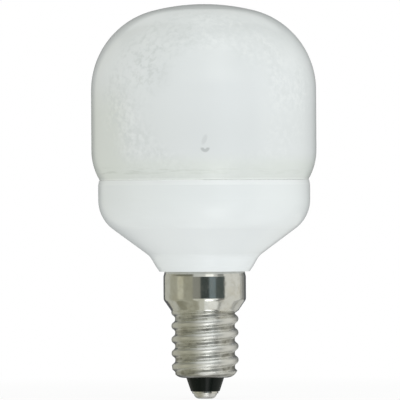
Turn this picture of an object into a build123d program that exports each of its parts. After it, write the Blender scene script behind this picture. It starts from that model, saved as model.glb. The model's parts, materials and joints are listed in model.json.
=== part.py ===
from build123d import *
from math import asin, cos, degrees, radians, sin, sqrt
import os

# Compact fluorescent lamp with a cylindrical frosted bulb, a white ballast housing and a 14 mm screw cap.
# Sizes are in millimetres. +Z runs along the lamp's axis from the cap to the bulb, and the origin is the
# flat tip of the centre contact. The front of the lamp is -Y.

# Screw cap: sheet thickness, lip, thread, taper and skirt
sheet = 0.3
contact_tip_radius = 1.4
solder_radius = 2.4
solder_height = 1.0
solder_waist = (2.15, 0.42)
contact_radius = 2.7
contact_thickness = 0.45
contact_rounding = 0.2
lip_height = 4.3
lip_radius = 3.95
shoulder_radius = 6.5
shoulder_height = 3.2
shoulder_rounding = 2.3
shoulder_blend = 1.5
thread_pitch = 2.822
thread_radius = 6.92
thread_depth = 0.8
knuckle_radius = 0.822
front_crest_height = 15.7
thread_margin = 0.03
thread_run_out = 0.6
taper_bottom = 18.15
taper_top = 20.4
taper_blend = 1.0
skirt_radius = 8.5
skirt_top = 26.2
rolled_edge_bottom = 25.2
rolled_edge_depth = 0.25

# Glass bulb: the top is a shallow crown, a round corner and a straight side
bulb_radius = 23.2
bulb_top = 81.3
crown_radius = 42.0
corner_radius = 17.0
bulb_shoulder_radius = 12.0
bulb_shoulder_top = 51.2
bulb_neck_radius = 19.9

# Ballast housing: collar, rounded belly, cone and neck
wall = 1.2
collar_radius = 21.85
collar_top = 45.1
collar_lip_height = 1.1
collar_lip_lean = 0.2
collar_rounding = 0.25
belly_radius = 7.5
belly_centre_height = 41.0
cone_angle = 53.5
neck_corner = (11.25, 29.38)
neck_blend = 4.0
neck_base = (10.0, 27.2)
rim_radius = 9.3
rim_blend = 0.5
spigot_bottom = 21.0
spigot_bore = 6.85
bore_corner = (10.0, 29.94)
bore_top = 26.6
neutral_angle = -47.7
neutral_groove = (7.4, 0.7, 23.4)

# Insides: what holds the tube, the circuit board and its clearances
fit = 0.05
holder_thickness = 1.5
holder_top = 42.9
board_thickness = 1.2
board_top = 37.8
board_radius = 18.2
rib_radius = 18.5
rib_foot = (16.2, 33.9)
rib_heel = (19.9, 37.4)
rib_thickness = 1.2
rib_count = 6
tube_end_offset = 9.5
tube_end_radius = 3.9
tube_end_bottom = 39.7
tube_end_reach = 0.3
pinch_size = (2.2, 6.4)
pinch_rounding = 0.8
pinch_bottom = 38.9
lead_radius = 0.3
lead_tail = 0.6

board_bottom = board_top - board_thickness
holder_bottom = holder_top - holder_thickness
collar_lip_bottom = collar_top - collar_lip_height
insulator_bottom = solder_height + contact_thickness
lead_bottom = board_bottom - lead_tail
lead_top = board_top + lead_tail

os.makedirs("parts", exist_ok=True)


def save(piece, label):
    """Names a finished piece and writes it to its own file."""
    piece.part.label = label
    export_step(piece.part, f"parts/{label}.step")


def turn(*corners):
    """Adds the solid turned about the lamp's axis from an outline of (radius, height) corners."""
    with BuildSketch(Plane.XZ) as profile:
        with BuildLine():
            Polyline(*corners, close=True)
        make_face()
    revolve(profile.sketch, axis=Axis.Z)


def wire(route, radius=lead_radius, bend=0.7):
    """Adds a round wire along a route of points, with every corner bent to the same radius."""
    with BuildLine() as path:
        FilletPolyline(*route, radius=bend)
    with BuildSketch(Plane(origin=path.line @ 0, z_dir=path.line % 0)) as section:
        Circle(radius)
    sweep(section.sketch, path=path.line)


def straight_leads(places, top, bottom):
    """Adds round leads that stand upright at (x, y) places."""
    with BuildSketch(Plane.XY.offset(bottom)) as ends:
        with Locations(*places):
            Circle(lead_radius)
    extrude(ends.sketch, amount=top - bottom)


# Screw cap: one sheet of plated brass, rolled into a rounded thread that keeps the sheet's thickness
def cap_outline(inset):
    """Returns half of the cap's outline without its thread, moved into the metal by inset."""
    taper_shift = inset * (skirt_radius - thread_radius) / sqrt(
        (taper_top - taper_bottom) ** 2 + (skirt_radius - thread_radius) ** 2
    )
    side = thread_radius + thread_margin - inset
    skirt = skirt_radius - inset
    with BuildSketch(Plane.XZ) as outline:
        with BuildLine():
            edge = FilletPolyline(
                (lip_radius, lip_height + inset),
                (shoulder_radius - inset, lip_height + inset),
                (side, lip_height + shoulder_height),
                (side, taper_bottom + taper_shift),
                (skirt, taper_top + taper_shift),
                (skirt, rolled_edge_bottom),
                (skirt - rolled_edge_depth, skirt_top),
                radius=[shoulder_rounding - inset, shoulder_blend, taper_blend, taper_blend, taper_blend],
            )
            Polyline(edge @ 1, (0, skirt_top), (0, lip_height + inset), edge @ 0)
        make_face()
    return outline.sketch


def threaded_rod(inset):
    """Returns a rod with the cap's rounded thread, moved into the metal by inset."""
    crest_arc = knuckle_radius - inset
    root_arc = knuckle_radius + inset
    root_radius = thread_radius - thread_depth - inset
    half_pitch = thread_pitch / 2
    flank = asin(half_pitch / (crest_arc + root_arc))
    core_angle = 0.28
    foot_angle = 0.14
    ridge_bottom = front_crest_height - 4.75 * thread_pitch

    def root_point(angle, side):
        return (
            root_radius + root_arc * (1 - cos(angle)),
            ridge_bottom + side * (half_pitch - root_arc * sin(angle)),
        )

    foot_low, foot_high = root_point(foot_angle, -1), root_point(foot_angle, 1)
    middle = (foot_angle + flank) / 2
    core_radius = root_point(core_angle, 1)[0]
    inside = core_radius - 0.25
    with BuildPart() as rod:
        with BuildLine() as helix:
            Helix(thread_pitch, 6 * thread_pitch, core_radius, center=(0, 0, ridge_bottom))
        with BuildSketch(Plane.XZ) as ridge:
            with BuildLine():
                ThreePointArc(foot_low, root_point(middle, -1), root_point(flank, -1))
                crest_top = (thread_radius - inset, ridge_bottom)
                ThreePointArc(root_point(flank, -1), crest_top, root_point(flank, 1))
                ThreePointArc(root_point(flank, 1), root_point(middle, 1), foot_high)
                Polyline(foot_high, (inside, foot_high[1]), (inside, foot_low[1]), foot_low)
            make_face()
        sweep(ridge.sketch, path=helix.line, is_frenet=True)
        with BuildSketch(Plane.XY):
            Circle(core_radius)
        extrude(amount=skirt_top)
    return rod.part


def cap_solid(inset):
    """Returns the solid inside the cap's outer face, or inside its inner face where inset is the sheet."""
    run_out = taper_bottom - thread_run_out
    root_radius = thread_radius - thread_depth - inset
    with BuildPart() as solid:
        add(threaded_rod(inset))
        revolve(cap_outline(inset), axis=Axis.Z, mode=Mode.INTERSECT)
        with BuildSketch(Plane.XZ):
            add(cap_outline(inset))
            with BuildLine():
                Polyline(
                    (0, 0),
                    (0, run_out),
                    (root_radius, run_out),
                    (thread_radius + thread_margin - inset, taper_bottom),
                    (skirt_radius, taper_bottom),
                    (skirt_radius, 0),
                    close=True,
                )
            make_face(mode=Mode.SUBTRACT)
        revolve(axis=Axis.Z)
    return solid.part


with BuildPart() as cap_shell:
    add(cap_solid(0))
    add(cap_solid(sheet), mode=Mode.SUBTRACT)
    with BuildSketch(Plane.XY.offset(lip_height)):
        Circle(lip_radius)
    extrude(amount=sheet, mode=Mode.SUBTRACT)
save(cap_shell, "cap_shell")

# Black glass insulator, cast into the bottom of the cap around the centre contact
insulator_radius = 5.75
insulator_foot_radius = 2.95
insulator_rounding = 0.3
insulator_step = 0.65
insulator_band = (5.75, 7.6)
insulator_top = (4.6, 8.2)
insulator_well_radius = 2.0
insulator_back = 7.4
wire_hole_radius = 0.6
with BuildPart() as cap_insulator:
    turn(
        (wire_hole_radius, insulator_bottom),
        (insulator_foot_radius, insulator_bottom),
        (lip_radius - fit, lip_height),
        (lip_radius - fit, lip_height + sheet),
        (lip_radius + insulator_step, lip_height + sheet),
        (insulator_radius, insulator_band[0]),
        (insulator_radius, insulator_band[1]),
        insulator_top,
        (insulator_well_radius, insulator_back),
        (wire_hole_radius, insulator_back),
    )
    bottom_edges = cap_insulator.edges().filter_by(GeomType.CIRCLE).group_by(Axis.Z)[0]
    fillet(bottom_edges.sort_by(SortBy.RADIUS)[-1], radius=insulator_rounding)
save(cap_insulator, "cap_insulator")

# Centre contact: a plated disc with the solder that closes its hole
with BuildPart() as centre_contact:
    with BuildSketch(Plane.XY.offset(solder_height)):
        Circle(contact_radius)
        Circle(wire_hole_radius, mode=Mode.SUBTRACT)
    extrude(amount=contact_thickness)
    fillet(centre_contact.edges().group_by(Axis.Z)[0].sort_by(SortBy.RADIUS)[-1], radius=contact_rounding)
save(centre_contact, "centre_contact")

with BuildPart() as contact_solder:
    with BuildSketch(Plane.XZ):
        with BuildLine():
            dome = ThreePointArc((contact_tip_radius, 0), solder_waist, (solder_radius, solder_height))
            Polyline(dome @ 1, (0, solder_height), (0, 0), dome @ 0)
        make_face()
    revolve(axis=Axis.Z)
save(contact_solder, "contact_solder")

# Ballast housing: one moulding, with ribs that carry the tube holder and the circuit board
belly_centre = (collar_radius - belly_radius, belly_centre_height)
spigot_radius = skirt_radius - sheet - fit


def housing_side(inset, corners, blends):
    """Draws the housing's side from the collar's lip to the neck's last corner, moved inwards by inset."""
    radius = belly_radius - inset
    tilt = radians(cone_angle)
    belly = CenterArc(belly_centre, radius, -cone_angle, cone_angle)
    Line(belly @ 1, (collar_radius - inset, collar_lip_bottom))
    belly_end = (belly_centre[0] + radius * cos(tilt), belly_centre[1] - radius * sin(tilt))
    FilletPolyline(belly_end, *corners, radius=blends)


with BuildPart() as housing:
    with BuildSketch(Plane.XZ):
        with BuildLine():
            housing_side(0, [neck_corner, neck_base, (rim_radius, skirt_top)], [neck_blend, rim_blend])
            Polyline(
                (rim_radius, skirt_top),
                (spigot_radius - rolled_edge_depth, skirt_top),
                (spigot_radius, rolled_edge_bottom),
                (spigot_radius, spigot_bottom),
                (0, spigot_bottom),
                (0, collar_top),
                (collar_radius - collar_lip_lean, collar_top),
                (collar_radius, collar_lip_bottom),
            )
        make_face()
    revolve(axis=Axis.Z)
    with BuildSketch(Plane.XZ):
        with BuildLine():
            housing_side(wall, [bore_corner, (spigot_bore, bore_top)], [neck_blend + wall])
            Polyline(
                (spigot_bore, bore_top),
                (spigot_bore, spigot_bottom),
                (0, spigot_bottom),
                (0, collar_top),
                (collar_radius - wall, collar_top),
                (collar_radius - wall, collar_lip_bottom),
            )
        make_face()
    revolve(axis=Axis.Z, mode=Mode.SUBTRACT)
    top_edges = housing.edges().filter_by(GeomType.CIRCLE).group_by(Axis.Z)[-1]
    fillet(top_edges.sort_by(SortBy.RADIUS)[-1], radius=collar_rounding)
    with BuildSketch(Plane.XZ):
        with BuildLine():
            Polyline(
                (collar_radius - wall / 2, holder_bottom),
                (rib_radius, holder_bottom),
                (rib_radius, board_bottom),
                (rib_foot[0], board_bottom),
                rib_foot,
                rib_heel,
                close=True,
            )
        make_face()
    rib = extrude(amount=rib_thickness / 2, both=True, mode=Mode.PRIVATE)
    for number in range(rib_count):
        add(rib.rotate(Axis.Z, 360 / rib_count * (number + 0.5)))
    groove_radius, groove_width, groove_top = neutral_groove
    with Locations(Location((0, 0, spigot_bottom), (0, 0, neutral_angle))):
        with Locations((groove_radius, 0, 0)):
            Box(
                wall,
                groove_width,
                groove_top - spigot_bottom,
                align=(Align.MIN, Align.CENTER, Align.MIN),
                mode=Mode.SUBTRACT,
            )
save(housing, "housing")

# Sealed glass bulb: nothing shows through the frosting, so it's one solid with the tube ends below it
crown_centre_height = bulb_top - crown_radius
corner_centre_radius = bulb_radius - corner_radius
crown_angle = asin(corner_centre_radius / (crown_radius - corner_radius))
corner_centre_height = crown_centre_height + (crown_radius - corner_radius) * cos(crown_angle)
bulb_shoulder_angle = asin((bulb_shoulder_top - collar_top) / bulb_shoulder_radius)
with BuildPart() as glass_bulb:
    with BuildSketch(Plane.XZ):
        with BuildLine():
            crown_sweep = degrees(crown_angle)
            crown = CenterArc((0, crown_centre_height), crown_radius, 90 - crown_sweep, crown_sweep)
            corner_centre = (corner_centre_radius, corner_centre_height)
            corner = CenterArc(corner_centre, corner_radius, 0, 90 - crown_sweep)
            shoulder = CenterArc(
                (bulb_radius - bulb_shoulder_radius, bulb_shoulder_top),
                bulb_shoulder_radius,
                -degrees(bulb_shoulder_angle),
                degrees(bulb_shoulder_angle),
            )
            Line(corner @ 0, shoulder @ 1)
            Polyline(
                shoulder @ 0,
                (bulb_neck_radius, collar_top),
                (bulb_neck_radius, holder_top),
                (0, holder_top),
                crown @ 1,
            )
        make_face()
    revolve(axis=Axis.Z)
    with BuildSketch(Plane.XY.offset(tube_end_bottom)):
        with Locations((-tube_end_offset, 0), (tube_end_offset, 0)):
            Circle(tube_end_radius)
    extrude(amount=holder_top - tube_end_bottom)
    with BuildSketch(Plane.XY.offset(pinch_bottom)):
        with Locations((-tube_end_offset, 0), (tube_end_offset, 0)):
            RectangleRounded(*pinch_size, radius=pinch_rounding)
    extrude(amount=tube_end_bottom - pinch_bottom)
save(glass_bulb, "glass_bulb")

# Bead of adhesive between the bulb's neck and the collar
adhesive_dip = 0.3
with BuildPart() as bulb_adhesive:
    turn(
        (bulb_neck_radius, holder_top),
        (collar_radius - wall, holder_top),
        (collar_radius - wall, collar_top - adhesive_dip),
        (bulb_neck_radius, collar_top),
    )
save(bulb_adhesive, "bulb_adhesive")

# Tube holder: a moulded disc on the ribs, with a collar round each tube end
holder_radius = collar_radius - wall - fit
holder_hole_radius = tube_end_radius + fit
holder_collar_wall = 1.0
with BuildPart() as tube_holder:
    with BuildSketch(Plane.XY.offset(holder_bottom)):
        Circle(holder_radius)
    extrude(amount=holder_thickness)
    with BuildSketch(Plane.XY.offset(tube_end_bottom + tube_end_reach)):
        with Locations((-tube_end_offset, 0), (tube_end_offset, 0)):
            Circle(tube_end_radius + holder_collar_wall)
    extrude(amount=holder_bottom - tube_end_bottom - tube_end_reach)
    with BuildSketch(Plane.XY.offset(tube_end_bottom)):
        with Locations((-tube_end_offset, 0), (tube_end_offset, 0)):
            Circle(holder_hole_radius)
    extrude(amount=holder_top - tube_end_bottom, mode=Mode.SUBTRACT)
save(tube_holder, "tube_holder")

# Where the parts stand on the board, seen from above: x, y and the turn in degrees
choke_place = (0, 1.8)
choke_size = (10.2, 8.6, 8.4)
start_capacitor_place = (-8.3, 0)
start_capacitor_size = (3.4, 7.4, 5.2)
coupling_capacitor_place = (-9.5, -6.6)
coupling_capacitor_size = (2.4, 4.6, 3.2)
snubber_capacitor_place = (4.4, 8.6)
transistor_places = ((8.3, 3.1), (8.3, -3.1))
transformer_place = (0, -9.0)
filter_choke_place = (7.4, -8.3)
stand_off = 0.2
part_top = board_bottom - stand_off

reservoir_lead_places = ((-0.05, -3.6), (2.45, -3.6))
choke_pin_places = tuple((choke_place[0] + x, choke_place[1] + y) for x in (-3.2, 3.2) for y in (-3.2, 3.2))
start_lead_places = tuple((start_capacitor_place[0], start_capacitor_place[1] + y) for y in (-2.5, 2.5))
coupling_x, coupling_y = coupling_capacitor_place
coupling_lead_places = ((coupling_x, coupling_y - 1.6), (coupling_x, coupling_y + 1.6))
snubber_lead_places = tuple((snubber_capacitor_place[0] + x, snubber_capacitor_place[1]) for x in (-1.3, 1.3))
transistor_lead_places = tuple((x, y + pitch) for x, y in transistor_places for pitch in (-1.27, 0, 1.27))
filter_lead_places = tuple((filter_choke_place[0] + x, filter_choke_place[1]) for x in (-1.5, 1.5))
wrap_pin_places = tuple((x, y) for x in (-14.6, 14.6) for y in (-3.6, 3.6))
live_wire_place = (-4.6, -4.6)
neutral_wire_place = (3.2, -4.9)
ring_outer, ring_inner, ring_thickness = 4.2, 2.2, 2.4
winding_wire_radius = 0.22
winding_gap = 0.05
winding_step = 9.0


def around_ring(radius, angle):
    """Returns the (x, y) point at an angle and radius round the drive transformer's ring."""
    return (
        transformer_place[0] + radius * cos(radians(angle)),
        transformer_place[1] + radius * sin(radians(angle)),
    )


outer_turn = ring_outer + winding_gap + winding_wire_radius
inner_turn = ring_inner - winding_gap - winding_wire_radius
winding_centres = (30, 150, 270)
winding_lead_places = tuple(around_ring(outer_turn, angle - 3 * winding_step) for angle in winding_centres)
winding_lead_places += tuple(around_ring(inner_turn, angle + 2 * winding_step) for angle in winding_centres)

diode_places = tuple((x, y) for x in (-4.2, 4.2) for y in (10.2, 14.0))
resistor_places = ((-4.2, -9.0), (-4.2, -14.4), (4.2, -14.4), (-10.3, 7.6), (10.3, 7.6))
trigger_diode_place = (0, 6.6)
diode_span = 7.0
resistor_span = 6.6
trigger_diode_span = 6.0
axial_lead_places = tuple(
    (x + side * span / 2, y)
    for places, span in (
        (diode_places, diode_span),
        (resistor_places, resistor_span),
        ((trigger_diode_place,), trigger_diode_span),
    )
    for x, y in places
    for side in (-1, 1)
)

# Circuit board: a round board on the ribs' steps, drilled for every lead
drilled_places = (
    reservoir_lead_places
    + choke_pin_places
    + start_lead_places
    + coupling_lead_places
    + snubber_lead_places
    + transistor_lead_places
    + filter_lead_places
    + winding_lead_places
    + wrap_pin_places
    + axial_lead_places
    + (live_wire_place, neutral_wire_place)
)
with BuildPart() as circuit_board:
    with BuildSketch(Plane.XY.offset(board_bottom)):
        Circle(board_radius)
        with Locations(*drilled_places):
            Circle(lead_radius + fit, mode=Mode.SUBTRACT)
    extrude(amount=board_thickness)
save(circuit_board, "circuit_board")


# Parts above the board: axial parts that lie flat with their leads bent down through it
axial_gap = 0.1
lead_depth = 0.3


def axial_part(place, body_radius, body_length, span):
    """Adds a lying cylinder with rounded ends and one bent lead at each end."""
    x, y = place
    height = board_top + body_radius + axial_gap
    with BuildSketch(Plane(origin=(x - body_length / 2, y, height), z_dir=(1, 0, 0))) as end:
        Circle(body_radius)
    body = extrude(end.sketch, amount=body_length, mode=Mode.PRIVATE)
    add(body.fillet(body_radius * 0.25, body.edges().filter_by(GeomType.CIRCLE)))
    for side in (-1, 1):
        inner = (x + side * (body_length / 2 - lead_depth), y, height)
        wire([inner, (x + side * span / 2, y, height), (x + side * span / 2, y, lead_bottom)])


with BuildPart() as rectifier_diodes:
    for place in diode_places:
        axial_part(place, 1.3, 4.6, diode_span)
save(rectifier_diodes, "rectifier_diodes")

with BuildPart() as resistors:
    for place in resistor_places:
        axial_part(place, 1.1, 4.2, resistor_span)
save(resistors, "resistors")

with BuildPart() as trigger_diode:
    axial_part(trigger_diode_place, 0.95, 3.6, trigger_diode_span)
save(trigger_diode, "trigger_diode")

# Pins at the board's edge and the lead-in wires that are wrapped on them
lead_in_radius = 0.2
lead_in_offset = 0.3
wrap_pin_height = 2.2
wrap_radius = 0.62
wrap_height = 1.0
wrap_bottom = board_top + 0.3
with BuildPart() as wrap_pins:
    straight_leads(wrap_pin_places, board_top + wrap_pin_height, lead_bottom)
save(wrap_pins, "wrap_pins")

with BuildPart() as lead_in_wires:
    for pin_x, pin_y in wrap_pin_places:
        side = 1 if pin_x > 0 else -1
        leave = (side * (tube_end_offset + lead_in_offset), pin_y * 0.4)
        level = wrap_bottom + wrap_height / 2
        wire(
            [
                (*leave, pinch_bottom),
                (*leave, level),
                (pin_x - side * (wrap_radius - 0.1), pin_y * 0.96, level),
            ],
            radius=lead_in_radius,
            bend=0.25,
        )
    with BuildSketch(Plane.XY.offset(wrap_bottom)):
        with Locations(*wrap_pin_places):
            Circle(wrap_radius)
    extrude(amount=wrap_height)
    with BuildSketch(Plane.XY.offset(wrap_bottom)):
        with Locations(*wrap_pin_places):
            Circle(lead_radius + fit)
    extrude(amount=wrap_height, mode=Mode.SUBTRACT)
save(lead_in_wires, "lead_in_wires")

# Lamp choke: bobbin, winding and ferrite core
bobbin_flange = 0.6
bobbin_post = (4.4, 3.6)
core_post = (3.2, 2.6)
winding_size = (7.4, 7.4)
winding_rounding = 1.2
core_leg = 1.2
core_back = 1.3
choke_bottom = part_top - choke_size[2]
window_bottom = choke_bottom + core_back
window_top = part_top - core_back
choke_plane = Plane(origin=(*choke_place, 0))
with BuildPart() as choke_core:
    with BuildSketch(choke_plane.offset(choke_bottom)):
        Rectangle(choke_size[0], core_post[1])
    extrude(amount=choke_size[2])
    with BuildSketch(choke_plane.offset(window_bottom)):
        Rectangle(choke_size[0] - 2 * core_leg, bobbin_post[1])
    extrude(amount=window_top - window_bottom, mode=Mode.SUBTRACT)
    with BuildSketch(choke_plane.offset(window_bottom)):
        Rectangle(*core_post)
    extrude(amount=window_top - window_bottom)
save(choke_core, "choke_core")

with BuildPart() as choke_bobbin:
    for height in (window_bottom + fit, window_top - fit - bobbin_flange):
        with BuildSketch(choke_plane.offset(height)):
            Rectangle(choke_size[0] - 2 * core_leg - 2 * fit, choke_size[1])
        extrude(amount=bobbin_flange)
    with BuildSketch(choke_plane.offset(window_bottom + fit)):
        Rectangle(*bobbin_post)
    extrude(amount=window_top - window_bottom - 2 * fit)
    with BuildSketch(choke_plane.offset(window_bottom)):
        Rectangle(core_post[0] + 2 * fit, core_post[1] + 2 * fit)
    extrude(amount=window_top - window_bottom, mode=Mode.SUBTRACT)
    straight_leads(choke_pin_places, lead_top, window_top - fit - bobbin_flange / 2)
save(choke_bobbin, "choke_bobbin")

with BuildPart() as choke_winding:
    winding_bottom = window_bottom + fit + bobbin_flange
    with BuildSketch(choke_plane.offset(winding_bottom)):
        RectangleRounded(*winding_size, radius=winding_rounding)
        Rectangle(*bobbin_post, mode=Mode.SUBTRACT)
    extrude(amount=window_top - fit - bobbin_flange - winding_bottom)
save(choke_winding, "choke_winding")

# Drive transformer: a ferrite ring with three short windings, lying against the board
ring_gap = 0.5
ring_top = part_top - ring_gap
with BuildPart() as drive_transformer_core:
    with BuildSketch(Plane(origin=(*transformer_place, ring_top))):
        Circle(ring_outer)
        Circle(ring_inner, mode=Mode.SUBTRACT)
    extrude(amount=-ring_thickness)
    fillet(drive_transformer_core.edges().filter_by(GeomType.CIRCLE), radius=0.15)
save(drive_transformer_core, "drive_transformer_core")

with BuildPart() as drive_transformer_windings:
    over = ring_top + winding_gap + winding_wire_radius
    under = ring_top - ring_thickness - winding_gap - winding_wire_radius
    for centre in winding_centres:
        route = [(*around_ring(outer_turn, centre - 3 * winding_step), lead_top)]
        for step in (-3, -1, 1):
            outside = around_ring(outer_turn, centre + step * winding_step)
            inside = around_ring(inner_turn, centre + (step + 1) * winding_step)
            route += [(*outside, over), (*outside, under), (*inside, under), (*inside, over)]
        wire([route[0]] + route[2:-1] + [(*route[-1][:2], lead_top)], winding_wire_radius, bend=0.3)
save(drive_transformer_windings, "drive_transformer_windings")

# Switching transistors: round-backed packages on three leads each
transistor_radius = 2.3
transistor_flat = 1.3
transistor_height = 4.4
with BuildPart() as transistors:
    with BuildSketch(Plane.XY.offset(part_top - 0.3)):
        with Locations(*transistor_places):
            Circle(transistor_radius)
        with Locations(*((x - transistor_flat - transistor_radius, y) for x, y in transistor_places)):
            Rectangle(2 * transistor_radius, 2 * transistor_radius, mode=Mode.SUBTRACT)
    extrude(amount=-transistor_height)
    straight_leads(transistor_lead_places, lead_top, part_top - 0.6)
save(transistors, "transistors")


# Film and ceramic capacitors that hang below the board
def film_capacitor(place, size, lead_places, rounding):
    """Adds a box-shaped capacitor with rounded edges and two upright leads."""
    with BuildSketch(Plane(origin=(*place, part_top))) as outline:
        RectangleRounded(size[0], size[1], radius=rounding)
    body = extrude(outline.sketch, amount=-size[2], mode=Mode.PRIVATE)
    add(body.fillet(rounding * 0.6, body.faces().sort_by(Axis.Z)[0].edges()))
    straight_leads(lead_places, lead_top, part_top - 0.5)


with BuildPart() as start_capacitor:
    film_capacitor(start_capacitor_place, start_capacitor_size, start_lead_places, 1.2)
save(start_capacitor, "start_capacitor")

with BuildPart() as coupling_capacitor:
    film_capacitor(coupling_capacitor_place, coupling_capacitor_size, coupling_lead_places, 0.4)
save(coupling_capacitor, "coupling_capacitor")

with BuildPart() as snubber_capacitor:
    disc_radius, disc_thickness = 1.9, 1.6
    disc_centre = (*snubber_capacitor_place, part_top - disc_radius)
    with BuildSketch(Plane(origin=disc_centre, z_dir=(0, 1, 0))):
        Circle(disc_radius)
    disc = extrude(amount=disc_thickness / 2, both=True, mode=Mode.PRIVATE)
    add(disc.fillet(0.5, disc.edges().filter_by(GeomType.CIRCLE)))
    straight_leads(snubber_lead_places, lead_top, part_top - disc_radius)
save(snubber_capacitor, "snubber_capacitor")

# Filter choke: wire wound on a ferrite bobbin
filter_radius, filter_height, filter_flange = 2.4, 3.6, 0.7
with BuildPart() as filter_choke:
    filter_plane = Plane(origin=(*filter_choke_place, part_top - filter_height))
    with BuildSketch(filter_plane):
        Circle(filter_radius)
    extrude(amount=filter_height)
    with BuildSketch(filter_plane.offset(filter_flange)):
        Circle(filter_radius)
        Circle(filter_radius - 0.3, mode=Mode.SUBTRACT)
    extrude(amount=filter_height - 2 * filter_flange, mode=Mode.SUBTRACT)
    straight_leads(filter_lead_places, lead_top, part_top - 0.3)
save(filter_choke, "filter_choke")

# Reservoir capacitor: its can fills the cap, and its leads pass the choke to the board
can_radius = 4.0
can_bottom, can_top = 9.6, 23.6
can_place = (1.2, 0)
crimp_height, crimp_width, crimp_depth = 21.9, 0.6, 0.25
can_rounding = 0.4
reservoir_lead_radius = 0.25
with BuildPart() as reservoir_capacitor:
    with BuildSketch(Plane(origin=(*can_place, can_bottom))):
        Circle(can_radius)
    extrude(amount=can_top - can_bottom)
    fillet(reservoir_capacitor.edges().filter_by(GeomType.CIRCLE), radius=can_rounding)
    with BuildSketch(Plane(origin=(*can_place, crimp_height))):
        Circle(can_radius)
        Circle(can_radius - crimp_depth, mode=Mode.SUBTRACT)
    extrude(amount=crimp_width, mode=Mode.SUBTRACT)
save(reservoir_capacitor, "reservoir_capacitor")

with BuildPart() as reservoir_leads:
    for lead_x, lead_y in reservoir_lead_places:
        wire(
            [
                (lead_x, can_place[1], can_top),
                (lead_x, can_place[1], can_top + 1.4),
                (lead_x, lead_y, can_top + 3.2),
                (lead_x, lead_y, lead_top),
            ],
            radius=reservoir_lead_radius,
        )
save(reservoir_leads, "reservoir_leads")

# Mains wires: one through the fuse resistor to the centre contact, one to the cap's wall
fuse_radius = 1.15
fuse_bottom, fuse_top = 12.0, 18.0
fuse_place = (-4.35, 0)
fuse_rounding = 0.4
mains_wire_radius = 0.28
bore_gap = 0.12
shell_gap = 0.04
with BuildPart() as fuse_resistor:
    with BuildSketch(Plane(origin=(*fuse_place, fuse_bottom))):
        Circle(fuse_radius)
    extrude(amount=fuse_top - fuse_bottom)
    fillet(fuse_resistor.edges().filter_by(GeomType.CIRCLE), radius=fuse_rounding)
save(fuse_resistor, "fuse_resistor")

with BuildPart() as live_wire:
    wire(
        [
            (*fuse_place, fuse_top),
            (*fuse_place, fuse_top + 5.0),
            (*live_wire_place, fuse_top + 11.5),
            (*live_wire_place, lead_top),
        ],
        radius=mains_wire_radius,
        bend=2.0,
    )
save(live_wire, "live_wire")

with BuildPart() as contact_wire:
    wire(
        [
            (*fuse_place, fuse_bottom),
            (*fuse_place, fuse_bottom - 2.9),
            (0, 0, fuse_bottom - 3.3),
            (0, 0, solder_height),
        ],
        radius=mains_wire_radius,
        bend=0.8,
    )
save(contact_wire, "contact_wire")

with BuildPart() as neutral_wire:
    hook_bottom, hook_top = 20.6, 23.0
    bore_entry, board_exit = 25.4, 28.4
    toward_wall = (cos(radians(neutral_angle)), sin(radians(neutral_angle)))
    bore_reach = spigot_bore - mains_wire_radius - bore_gap
    shell_reach = skirt_radius - sheet - mains_wire_radius - shell_gap
    inside_bore = tuple(bore_reach * part for part in toward_wall)
    against_shell = tuple(shell_reach * part for part in toward_wall)
    wire(
        [
            (*neutral_wire_place, lead_top),
            (*neutral_wire_place, board_exit),
            (*inside_bore, bore_entry),
            (*inside_bore, hook_bottom),
            (*against_shell, hook_bottom),
            (*against_shell, hook_top),
        ],
        radius=mains_wire_radius,
        bend=0.6,
    )
save(neutral_wire, "neutral_wire")
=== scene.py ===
import json
import math

import bpy
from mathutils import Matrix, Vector


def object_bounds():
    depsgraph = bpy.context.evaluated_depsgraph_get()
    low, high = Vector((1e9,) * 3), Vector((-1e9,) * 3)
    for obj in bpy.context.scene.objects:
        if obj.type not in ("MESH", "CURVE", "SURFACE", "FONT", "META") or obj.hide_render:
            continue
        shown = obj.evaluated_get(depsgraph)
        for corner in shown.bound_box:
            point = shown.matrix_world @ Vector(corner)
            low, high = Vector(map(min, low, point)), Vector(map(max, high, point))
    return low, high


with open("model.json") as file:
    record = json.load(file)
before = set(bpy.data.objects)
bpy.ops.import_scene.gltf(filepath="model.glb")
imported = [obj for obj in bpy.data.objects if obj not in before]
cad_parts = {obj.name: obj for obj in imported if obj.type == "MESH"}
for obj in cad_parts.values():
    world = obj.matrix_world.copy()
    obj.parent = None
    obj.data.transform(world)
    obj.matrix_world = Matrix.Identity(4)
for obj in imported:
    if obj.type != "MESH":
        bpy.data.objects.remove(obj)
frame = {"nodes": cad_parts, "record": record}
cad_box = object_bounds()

# Lengths are in metres. The lamp stands on its contact at the origin, with +Z up its axis, and its front is -Y.
MM = 0.001
nodes = frame["nodes"]
lamp_height = cad_box[1][2]

# The photograph: 400 pixels square, and how the lamp lies in it
photo_side = 400
pixels_per_mm = 4.85
contact_row = 398.5
axis_column = 204.2
lean = math.radians(0.33)


class Value:
    """One socket of a finish. Arithmetic on it adds Math nodes."""

    def __init__(self, finish, socket):
        self.finish = finish
        self.socket = socket

    def __add__(self, other):
        return self.finish.math("ADD", self, other)

    def __radd__(self, other):
        return self.finish.math("ADD", other, self)

    def __sub__(self, other):
        return self.finish.math("SUBTRACT", self, other)

    def __rsub__(self, other):
        return self.finish.math("SUBTRACT", other, self)

    def __mul__(self, other):
        return self.finish.math("MULTIPLY", self, other)

    def __rmul__(self, other):
        return self.finish.math("MULTIPLY", other, self)

    def __truediv__(self, other):
        return self.finish.math("DIVIDE", self, other)

    def __pow__(self, other):
        return self.finish.math("POWER", self, other)

    def ramp(self, low, high):
        """Rises smoothly from 0 at low to 1 at high."""
        sockets = {"Value": self, "From Min": low, "From Max": high}
        return self.finish.node("MapRange", {"interpolation_type": "SMOOTHSTEP"}, sockets)


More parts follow.
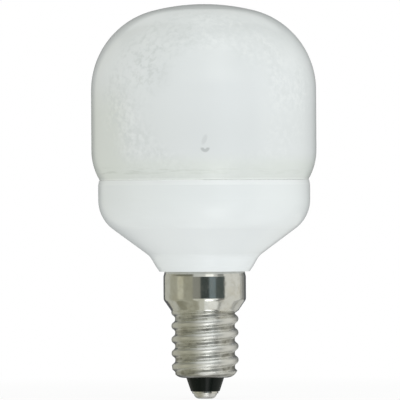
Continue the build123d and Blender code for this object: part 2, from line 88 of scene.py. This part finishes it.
class Finish:
    """The nodes of a material or of the world, and the short ways to add them."""

    def __init__(self, owner):
        owner.use_nodes = True
        self.owner = owner
        self.tree = owner.node_tree
        self.tree.nodes.clear()

    def node(self, kind, settings=None, sockets=None, output=0):
        """Adds a node, sets it up, fills or links its sockets, and returns one of its outputs."""
        made = self.tree.nodes.new("ShaderNode" + kind)
        for name, setting in (settings or {}).items():
            setattr(made, name, setting)
        for key, value in (sockets or {}).items():
            socket = made.inputs[key]
            if isinstance(value, Value):
                self.tree.links.new(value.socket, socket)
            elif isinstance(value, tuple) and len(socket.default_value) == 4:
                socket.default_value = (*value, 1.0)
            else:
                socket.default_value = value
        return Value(self, made.outputs[output]) if made.outputs else None

    def math(self, operation, first, second):
        return self.node("Math", {"operation": operation}, {0: first, 1: second})

    def mix(self, share, first, second):
        """Blends two colours, from the first at 0 to the second at 1."""
        return self.node("Mix", {"data_type": "RGBA"}, {0: share, 6: first, 7: second}, 2)

    def place(self):
        """The point on the surface, in metres."""
        return self.node("TexCoord", output="Object")

    def axes(self):
        """The point's x, y and z, as three values."""
        place = self.place()
        return [self.node("SeparateXYZ", None, {0: place}, axis) for axis in range(3)]

    def stretched(self, x, y, z):
        """The point with its axes scaled, for grain that runs one way."""
        sockets = {0: self.place(), 1: Vector((x, y, z))}
        return self.node("VectorMath", {"operation": "MULTIPLY"}, sockets)

    def noise(self, size, detail=2.0, roughness=0.5, place=None):
        """Cloudy noise around 0.5, with patches of about this size."""
        sockets = {
            "Vector": place or self.place(),
            "Scale": 1 / size,
            "Detail": detail,
            "Roughness": roughness,
        }
        return self.node("TexNoise", None, sockets)

    def bump(self, height, depth):
        """Relief from a height between 0 and 1, with its full depth in metres."""
        return self.node("Bump", None, {"Height": height, "Distance": depth, "Strength": 1.0})

    def surface(self, **values):
        """Finishes the material with one surface shader; names are its sockets in lower case."""
        sockets = {name.replace("_", " ").title().replace("Ior", "IOR"): value for name, value in values.items()}
        shader = self.node("BsdfPrincipled", None, sockets)
        self.node("OutputMaterial", None, {"Surface": shader})
        return self.owner


def material(name):
    """A new material, empty as yet."""
    return Finish(bpy.data.materials.new(name))


def oval(x, z, middle, reach):
    """Squared distance from the middle of an upright oval, 1 at its edge. Both pairs are across and up."""
    across = (x - middle[0]) / reach[0]
    upward = (z - middle[1]) / reach[1]
    return across * across + upward * upward


def frosted_glass():
    """Opal glass with a fine grain in its coating in a ring round the middle, and faint lines at its foot."""
    glass = material("frosted_glass")
    x, y, z = glass.axes()
    front = (0 - y).ramp(0, 8 * MM)
    right = x.ramp(-9 * MM, 7 * MM)

    # How much grain: a patchy ring, weaker at the lower right
    from_middle = oval(x, z, (1 * MM, 60 * MM), (17 * MM, 15.5 * MM))
    ring = from_middle.ramp(0.35, 0.8) * from_middle.ramp(1.9, 1.2)
    patches = glass.noise(5 * MM, 2.0).ramp(0.3, 0.65)
    lower_right = x.ramp(2 * MM, 9 * MM) * z.ramp(63 * MM, 57 * MM)
    amount = ring * (patches * 0.7 + 0.3) * (1 - lower_right * 0.6)
    grain = glass.noise(1.15 * MM, 2.0, 0.55)

    # Colour: slow clouds, a little darker low down, painted shade at the left where less light falls, and
    # painted light on the upper shoulders
    cloud = glass.noise(14 * MM, 2.0)
    shoulder_painted_light = (0.860, 0.886, 0.890)
    base = glass.mix(cloud, (0.786, 0.818, 0.822), (0.808, 0.834, 0.838))
    low = z.ramp(63 * MM, 54 * MM)
    base = glass.mix(low * 0.85, base, (0.772, 0.800, 0.802))
    # Painted light: the upper shoulders are lighter, as where more light falls on them
    upper_left_light = x.ramp(-5 * MM, -11 * MM) * z.ramp(63 * MM, 69 * MM)
    base = glass.mix(upper_left_light * 0.6, base, shoulder_painted_light)
    upper_right_light = x.ramp(15 * MM, 18.5 * MM) * z.ramp(65 * MM, 70 * MM)
    base = glass.mix(upper_right_light * 0.7, base, shoulder_painted_light)
    # Painted shade: the left side is darker and greener, as where less light falls
    left_painted_shade = x.ramp(-13.5 * MM, -19 * MM) * z.ramp(67 * MM, 58 * MM)
    base = glass.mix(left_painted_shade * 0.8, base, (0.748, 0.780, 0.736))

    # The grain: darker where the coating is thin, lighter where it's thick, and darkest at the upper left
    shade = oval(x, z, (-11 * MM, 67.3 * MM), (4.5 * MM, 5 * MM)).ramp(1.6, 0) * front
    thin = grain.ramp(0.54, 0.32) * (amount * (0.7 - right * 0.38) + shade * 0.5)
    color = glass.mix(thin, base, (0.705, 0.738, 0.732))
    thick = grain.ramp(0.46, 0.7) * amount * (0.45 + right * 0.1)
    color = glass.mix(thick, color, (0.880, 0.905, 0.900))
    color = glass.mix(shade * patches * 0.4, color, (0.715, 0.745, 0.750))

    # The foot: painted shade in a darker, greener band where the glass turns in to the collar, broken by
    # streaks; thin lines that run round it; and painted light at the seam with the collar, against the shade of
    # that corner
    streak = glass.noise(1.4 * MM, 3.0, 0.6, place=glass.stretched(0.16, 0.16, 1.0))
    # Painted shade: a darker, greener band at the foot, broken by the streaks
    foot_shade = z.ramp(51 * MM, 47.5 * MM)
    color = glass.mix(foot_shade * (0.35 + streak * 0.5), color, (0.735, 0.775, 0.725))
    lines = glass.noise(0.6 * MM, 3.0, 0.6, place=glass.stretched(0.12, 0.12, 1.0)).ramp(0.46, 0.68)
    line_band = z.ramp(45.8 * MM, 46.3 * MM) * z.ramp(47.9 * MM, 47.2 * MM)
    color = glass.mix(lines * line_band * (0.62 - right * 0.42), color, (0.60, 0.635, 0.585))
    # Painted light: the glass just above the collar is lightened against the shade in the corner at the seam
    seam_painted_light = z.ramp(45.5 * MM, 45.0 * MM)
    color = glass.mix(seam_painted_light * 0.8, color, (0.97, 0.99, 0.97))

    # A small curved mark low on the front, with a slanting smear above it
    mark_x, mark_z = 0.23 * MM, 51.57 * MM
    from_mark = oval(x, z, (mark_x, mark_z), (0.6 * MM, 0.6 * MM))
    lower_half = z.ramp(mark_z + 0.15 * MM, mark_z - 0.2 * MM)
    crescent = from_mark.ramp(0.02, 0.4) * from_mark.ramp(3.2, 1.4) * lower_half
    smear_x, smear_z, smear_slant = 0.1 * MM, 53.2 * MM, 0.3
    upright_x = x - (z - smear_z) * smear_slant
    smear = oval(upright_x, z, (smear_x, smear_z), (0.55 * MM, 1.1 * MM)).ramp(1.4, 0.2)
    color = glass.mix((crescent * 0.5 + smear * 0.17) * front, color, (0.35, 0.37, 0.37))

    return glass.surface(
        base_color=color,
        roughness=0.17 + amount * grain * 0.12,
        ior=1.5,
        normal=glass.bump(amount * grain, 0.004 * MM),
    )


def white_plastic():
    """Moulded white plastic with a soft gloss and the faint flow of the moulding, with a painted highlight at
    its lip, painted light at its top rim and on its belly.
    """
    plastic = material("white_plastic")
    z = plastic.axes()[2]
    flow = plastic.noise(18 * MM, 2.0, place=plastic.stretched(1, 1, 0.4))
    color = plastic.mix(flow, (0.822, 0.856, 0.856), (0.844, 0.876, 0.878))
    # Painted highlight: a lighter band on the rounded lip, where light from above catches it
    lip_highlight = z.ramp(43.9 * MM, 44.15 * MM)
    color = plastic.mix(lip_highlight * 0.6, color, (0.90, 0.925, 0.925))
    # Painted light: the top rim next to the glass is lightened against the shade of the seam
    rim_painted_light = z.ramp(44.9 * MM, 45.05 * MM)
    color = plastic.mix(rim_painted_light, color, (0.96, 0.98, 0.97))
    # Painted light: the belly, low down where it faces the floor, is lightened
    belly_painted_light = z.ramp(40 * MM, 31 * MM)
    color = plastic.mix(belly_painted_light * 0.75, color, (0.884, 0.920, 0.928))
    skin = plastic.noise(0.5 * MM, 2.0)
    return plastic.surface(
        base_color=color,
        roughness=0.18 + skin * 0.06,
        ior=1.5,
        normal=plastic.bump(skin, 0.0015 * MM),
    )


def plated_cap():
    """Bright nickel plating on rolled brass, warmer where it's worn, with stains, and painted shade and a
    painted highlight on the thread.
    """
    metal = material("plated_cap")
    x, y, z = metal.axes()
    from_axis = (x * x + y * y) ** 0.5
    thread = z.ramp(18 * MM, 17.5 * MM) * z.ramp(4.2 * MM, 5.2 * MM)

    # Wear and stains over the whole cap
    worn = metal.noise(3.5 * MM, 3.0, 0.6).ramp(0.45, 0.75)
    stain = metal.noise(1.3 * MM, 3.0, 0.6).ramp(0.4, 0.8)
    color = metal.mix(worn * 0.5, (0.76, 0.765, 0.735), (0.66, 0.63, 0.535))
    color = metal.mix(stain * 0.3, color, (0.50, 0.475, 0.405))

    # The thread: rubbed crests; dull grooves with painted shade mixed with stains, more at the right side; a
    # painted highlight in a strip down the front; and painted shade mixed with stains at the very root
    groove = from_axis.ramp(6.34 * MM, 6.12 * MM) * thread
    crest = from_axis.ramp(6.4 * MM, 6.8 * MM) * thread
    color = metal.mix(crest * 0.6, color, (0.86, 0.86, 0.83))
    # Painted shade in the grooves, mixed with stains, and more of it at the right side
    right_painted_shade = x.ramp(3 * MM, 5 * MM)
    color = metal.mix(groove * (0.15 + stain * 0.4 + right_painted_shade * 0.3), color, (0.27, 0.26, 0.21))
    # Painted highlight: a lighter strip down the front of the thread, where it reflects light
    front_painted_highlight = x.ramp(-3.2 * MM, -1.2 * MM) * x.ramp(4 * MM, 2.4 * MM) * (0 - y).ramp(0, 3 * MM) * thread
    color = metal.mix(front_painted_highlight * (1 - groove * 0.5) * 0.85, color, (0.93, 0.935, 0.915))
    # Painted shade at the very root of the thread, mixed with stains
    root_shade_and_stain = from_axis.ramp(6.2 * MM, 6.13 * MM) * thread
    color = metal.mix(root_shade_and_stain * (0.25 + stain * 0.5), color, (0.10, 0.10, 0.08))

    # Fine rolling marks on the skirt and the taper
    marks = metal.noise(0.5 * MM, 3.0, 0.7, place=metal.stretched(0.15, 0.15, 1.0)) * z.ramp(18 * MM, 19 * MM)
    return metal.surface(
        base_color=color,
        metallic=1.0,
        roughness=0.13 + stain * 0.1 + thread * 0.12 + (crest + groove) * 0.12,
        normal=metal.bump(marks, 0.0003 * MM),
    )


def black_glass():
    """Cast black glass with a bright, slightly wavy surface."""
    glass = material("black_glass")
    flow = glass.noise(1.6 * MM, 2.0)
    color = glass.mix(flow, (0.003, 0.005, 0.004), (0.007, 0.010, 0.008))
    return glass.surface(
        base_color=color,
        roughness=0.12 + flow * 0.06,
        specular_ior_level=0.13,
        normal=glass.bump(flow, 0.03 * MM),
    )


def solder():
    """Solder: soft bright metal with a grainy, rippled skin."""
    metal = material("solder")
    ripple = metal.noise(0.8 * MM, 3.0, 0.6)
    color = metal.mix(ripple, (0.74, 0.74, 0.73), (0.92, 0.92, 0.91))
    return metal.surface(
        base_color=color,
        metallic=1.0,
        roughness=0.28 + ripple * 0.2,
        normal=metal.bump(ripple, 0.06 * MM),
    )


def tinned_wire():
    """Tinned copper wire, dull bright."""
    metal = material("tinned_wire")
    tarnish = metal.noise(0.9 * MM, 3.0)
    color = metal.mix(tarnish, (0.55, 0.54, 0.52), (0.78, 0.78, 0.77))
    return metal.surface(base_color=color, metallic=1.0, roughness=0.25 + tarnish * 0.2)


def circuit_board():
    """Bare paper laminate, with the paper's fibres and a slightly glossy resin."""
    board = material("board")
    fibres = board.noise(0.6 * MM, 4.0, 0.65, place=board.stretched(0.12, 1.0, 1.0))
    blotches = board.noise(5 * MM, 2.0)
    color = board.mix(fibres * 0.6 + blotches * 0.4, (0.36, 0.23, 0.09), (0.56, 0.41, 0.20))
    return board.surface(base_color=color, roughness=0.42 + fibres * 0.1, normal=board.bump(fibres, 0.02 * MM))


def moulded(name, dark, light, gloss, grain=0.25 * MM, depth=0.008 * MM):
    """A moulded, dipped or sintered body: a close fine grain over slow patches of colour."""
    body = material(name)
    skin = body.noise(grain, 3.0, 0.6)
    patches = body.noise(2.2 * MM, 2.0)
    color = body.mix(patches * 0.7 + skin * 0.3, dark, light)
    return body.surface(
        base_color=color,
        roughness=gloss + skin * 0.12,
        normal=body.bump(skin, depth),
    )


def copper_winding():
    """Enamelled copper wire wound close, turn beside turn."""
    copper = material("copper_winding")
    turn_pitch = 0.2 * MM
    z = copper.axes()[2]
    turns = copper.node("Math", {"operation": "SINE"}, {0: z * (2 * math.pi / turn_pitch)})
    shade = copper.noise(1.5 * MM, 2.0)
    color = copper.mix(shade, (0.42, 0.13, 0.045), (0.72, 0.30, 0.13))
    return copper.surface(
        base_color=color,
        metallic=0.85,
        roughness=0.3 + shade * 0.15,
        normal=copper.bump(turns * 0.5 + 0.5, 0.05 * MM),
    )


finishes = {
    "frosted_glass": frosted_glass(),
    "white_plastic": white_plastic(),
    "plated_cap": plated_cap(),
    "black_glass": black_glass(),
    "solder": solder(),
    "tinned_wire": tinned_wire(),
    "board": circuit_board(),
    "copper_winding": copper_winding(),
}

# Moulded finishes: darkest and lightest colour, roughness, and the grain's size and depth where they differ
moulded_looks = {
    "adhesive": ((0.70, 0.69, 0.63), (0.84, 0.83, 0.79), 0.55, 0.4 * MM, 0.03 * MM),
    "black_epoxy": ((0.014, 0.014, 0.015), (0.03, 0.03, 0.032), 0.45),
    "resistor_coat": ((0.46, 0.33, 0.19), (0.62, 0.48, 0.31), 0.32),
    "trigger_glass": ((0.05, 0.14, 0.42), (0.12, 0.26, 0.6), 0.12),
    "ferrite": ((0.03, 0.029, 0.03), (0.07, 0.066, 0.066), 0.4, 0.2 * MM, 0.02 * MM),
    "bobbin_plastic": ((0.028, 0.028, 0.032), (0.05, 0.05, 0.056), 0.38),
    "film_capacitor": ((0.26, 0.04, 0.018), (0.4, 0.085, 0.04), 0.16, 0.5 * MM, 0.01 * MM),
    "ceramic_disc": ((0.03, 0.14, 0.36), (0.08, 0.24, 0.5), 0.3, 0.3 * MM, 0.02 * MM),
    "capacitor_sleeve": ((0.014, 0.018, 0.036), (0.035, 0.045, 0.07), 0.2),
    "fuse_coat": ((0.15, 0.24, 0.17), (0.25, 0.36, 0.27), 0.5, 0.2 * MM, 0.02 * MM),
}
for name, look in moulded_looks.items():
    finishes[name] = moulded(name, *look)

# Every carried-over piece takes the finish of its slot
for subpart in frame["record"]["subparts"]:
    piece = nodes[subpart["node"]]
    piece.data.materials.clear()
    piece.data.materials.append(finishes[subpart["material_slot"]])

# Floor: a plain white table that keeps the lamp's shadow. Some of what it returns is plain white, more of it for
# the camera, and most far from the lamp. Reflections see the cards instead of it.
floor_finish = material("floor")
lit = floor_finish.node("BsdfDiffuse", None, {"Color": (0.95, 0.95, 0.95)})
plain = floor_finish.node("Emission", None, {"Color": (1.0, 1.0, 1.0), "Strength": 1.0})
camera_sees = floor_finish.node("LightPath", output="Is Camera Ray")
x, y = floor_finish.axes()[:2]
shadow_reach = 40 * MM
white_from = 200 * MM
far = (x * x + y * y).ramp(shadow_reach ** 2, white_from ** 2)
floor_share = 0.55 + camera_sees * (0.35 + far * 0.1)
floor_shader = floor_finish.node("MixShader", None, {0: floor_share, 1: lit, 2: plain})
floor_finish.node("OutputMaterial", None, {"Surface": floor_shader})

floor_reach = 4.0
corner_signs = ((-1, -1), (1, -1), (1, 1), (-1, 1))
floor_corners = [(across * floor_reach, along * floor_reach, 0) for across, along in corner_signs]
floor_mesh = bpy.data.meshes.new("floor")
floor_mesh.from_pydata(floor_corners, [], [(0, 1, 2, 3)])
floor_mesh.materials.append(floor_finish.owner)
floor = bpy.data.objects.new("floor", floor_mesh)
bpy.context.scene.collection.objects.link(floor)
floor.visible_glossy = False

# Camera: level with the lamp's middle, far away, with a long lens
camera_distance = 1.5
view_side = photo_side / pixels_per_mm * MM
aim_x = (photo_side / 2 - axis_column) / pixels_per_mm * MM
aim_z = (contact_row - photo_side / 2) / pixels_per_mm * MM
camera_data = bpy.data.cameras.new("camera")
camera_data.sensor_width = 36.0
camera_data.lens = camera_data.sensor_width * camera_distance / view_side
camera_data.clip_end = 20.0
camera = bpy.data.objects.new("camera", camera_data)
camera.location = (aim_x, -camera_distance, aim_z)
camera.rotation_euler = (math.pi / 2, lean, 0)
bpy.context.scene.collection.objects.link(camera)
bpy.context.scene.camera = camera


def toward(azimuth, elevation, distance):
    """The point that far from the lamp's middle; azimuth 0 is the camera's side and 90 the right side."""
    turn = math.radians(azimuth)
    rise = math.radians(elevation)
    middle = Vector((0, 0, lamp_height / 2))
    way = Vector((math.sin(turn) * math.cos(rise), -math.cos(turn) * math.cos(rise), math.sin(rise)))
    return middle + way * distance


def soft_lamp(name, azimuth, elevation, side, power, color=(1.0, 1.0, 1.0), distance=0.9):
    """A square soft light that faces the lamp."""
    data = bpy.data.lights.new(name, "AREA")
    data.shape = "SQUARE"
    data.size = side
    data.energy = power
    data.color = color
    light = bpy.data.objects.new(name, data)
    light.location = toward(azimuth, elevation, distance)
    aim = Vector((0, 0, lamp_height / 2)) - light.location
    light.rotation_euler = aim.to_track_quat("-Z", "Y").to_euler()
    bpy.context.scene.collection.objects.link(light)
    light.visible_camera = False
    return light


key_lamp = soft_lamp("key", azimuth=27, elevation=9, side=0.5, power=1.6, color=(0.93, 0.97, 1.08))
key_lamp.visible_glossy = False
soft_lamp("top", azimuth=43, elevation=64, side=0.3, power=0.35)

# How far the studio cards stand
card_distance = 1.2
nearer = 1.19
nearest = 1.18


def card(name, azimuths, elevations, color, distance=card_distance):
    """A studio card, seen only in reflections: part of a globe round the lamp between these angles."""
    finish = material(name)
    shader = finish.node("Emission", None, {"Color": color, "Strength": 1.0})
    finish.node("OutputMaterial", None, {"Surface": shader})
    steps = 12
    across = steps + 1
    corners = []
    for row in range(across):
        elevation = elevations[0] + (elevations[1] - elevations[0]) * row / steps
        for column in range(across):
            azimuth = azimuths[0] + (azimuths[1] - azimuths[0]) * column / steps
            corners.append(toward(azimuth, elevation, distance))
    faces = []
    for row in range(steps):
        for column in range(steps):
            first = row * across + column
            faces.append((first, first + 1, first + across + 1, first + across))
    mesh = bpy.data.meshes.new(name)
    mesh.from_pydata(corners, [], faces)
    mesh.materials.append(finish.owner)
    sheet = bpy.data.objects.new(name, mesh)
    sheet.visible_camera = False
    sheet.visible_diffuse = False
    sheet.visible_transmission = False
    sheet.visible_volume_scatter = False
    sheet.visible_shadow = False
    bpy.context.scene.collection.objects.link(sheet)


# What the metal reflects at the camera's side, from left to right: a dark room with a window in it.
# A nearer card hides the ones behind it.
card("card_left_front", (-34, -12), (-8, 12), (0.27, 0.27, 0.235))
card("card_front", (-12, 13), (-8, 12), (0.05, 0.06, 0.057))
card("card_window", (13, 31), (-8, 12), (0.19, 0.235, 0.25))
card("card_front_right", (31, 58), (-8, 12), (0.075, 0.092, 0.09))

# Above the camera
card("card_above", (-34, 58), (12, 40), (0.62, 0.63, 0.6))
card("card_above_window", (3, 27), (15, 62), (1.25, 1.26, 1.22), nearer)
card("card_above_right", (39, 58), (14, 60), (0.28, 0.29, 0.275), nearer)

# The table before the lamp
card("card_table_left", (-34, -2), (-80, -8), (0.6, 0.6, 0.53))
card("card_table_right", (-2, 41), (-80, -8), (0.85, 0.86, 0.83))
card("card_front_table", (3, 27), (-60, -26), (2.1, 2.11, 2.05), nearer)
card("card_right_table", (40, 59), (-68, -8), (0.25, 0.245, 0.23), nearer)
card("card_low_front", (20, 66), (-80, -61), (0.9, 0.9, 0.86), nearest)

# The left side
card("card_left", (-62, -34), (-80, 18), (0.36, 0.355, 0.28))
card("card_left_side", (-120, -62), (-80, 18), (0.41, 0.405, 0.325))
card("card_left_edge", (-148, -114), (-80, 32), (0.52, 0.52, 0.46), nearer)
card("card_left_above", (-148, -34), (18, 88), (0.19, 0.19, 0.15))
card("card_streak", (-83, -62), (-16, 18), (0.56, 0.55, 0.44), nearer)
card("card_low_left", (-132, -88), (-70, -42), (0.28, 0.275, 0.21), nearest)
card("card_low_left_front", (-100, -68), (-80, -67), (0.6, 0.59, 0.5), nearest)

# The right side
card("card_right", (58, 118), (-80, 60), (0.73, 0.725, 0.68))
card("card_right_edge", (118, 130), (-80, 60), (0.48, 0.48, 0.46))
card("card_far_right", (130, 146), (-80, 60), (0.27, 0.27, 0.26))
card("card_right_above", (37, 146), (60, 88), (0.4, 0.39, 0.37))
card("card_low_right", (69, 102), (-74, -59), (0.3, 0.3, 0.285), nearest)
card("card_low_right_edge", (132, 168), (-46, -14), (0.6, 0.6, 0.57), nearest)

# Behind the lamp
card("card_back", (146, 212), (-30, 30), (0.11, 0.115, 0.12))
card("card_back_above", (146, 212), (30, 60), (0.7, 0.71, 0.71))
card("card_back_table", (146, 212), (-80, -30), (0.3, 0.3, 0.29))

# World: even light, and a white background for what the camera and the metal see
world = bpy.data.worlds.new("world")
bpy.context.scene.world = world
ambient_level = 0.715
sky = Finish(world)
ambient_sky = sky.node("Background", None, {"Color": (0.985, 1.0, 0.955), "Strength": ambient_level})
plain_sky = sky.node("Background", None, {"Color": (1.0, 1.0, 1.0), "Strength": 1.0})
camera_ray = sky.node("LightPath", output="Is Camera Ray")
glossy_ray = sky.node("LightPath", output="Is Glossy Ray")
seen_sky = sky.math("MAXIMUM", camera_ray, glossy_ray)
sky_shader = sky.node("MixShader", None, {0: seen_sky, 1: ambient_sky, 2: plain_sky})
sky.node("OutputWorld", None, {"Surface": sky_shader})

bpy.context.scene.view_settings.view_transform = "Standard"
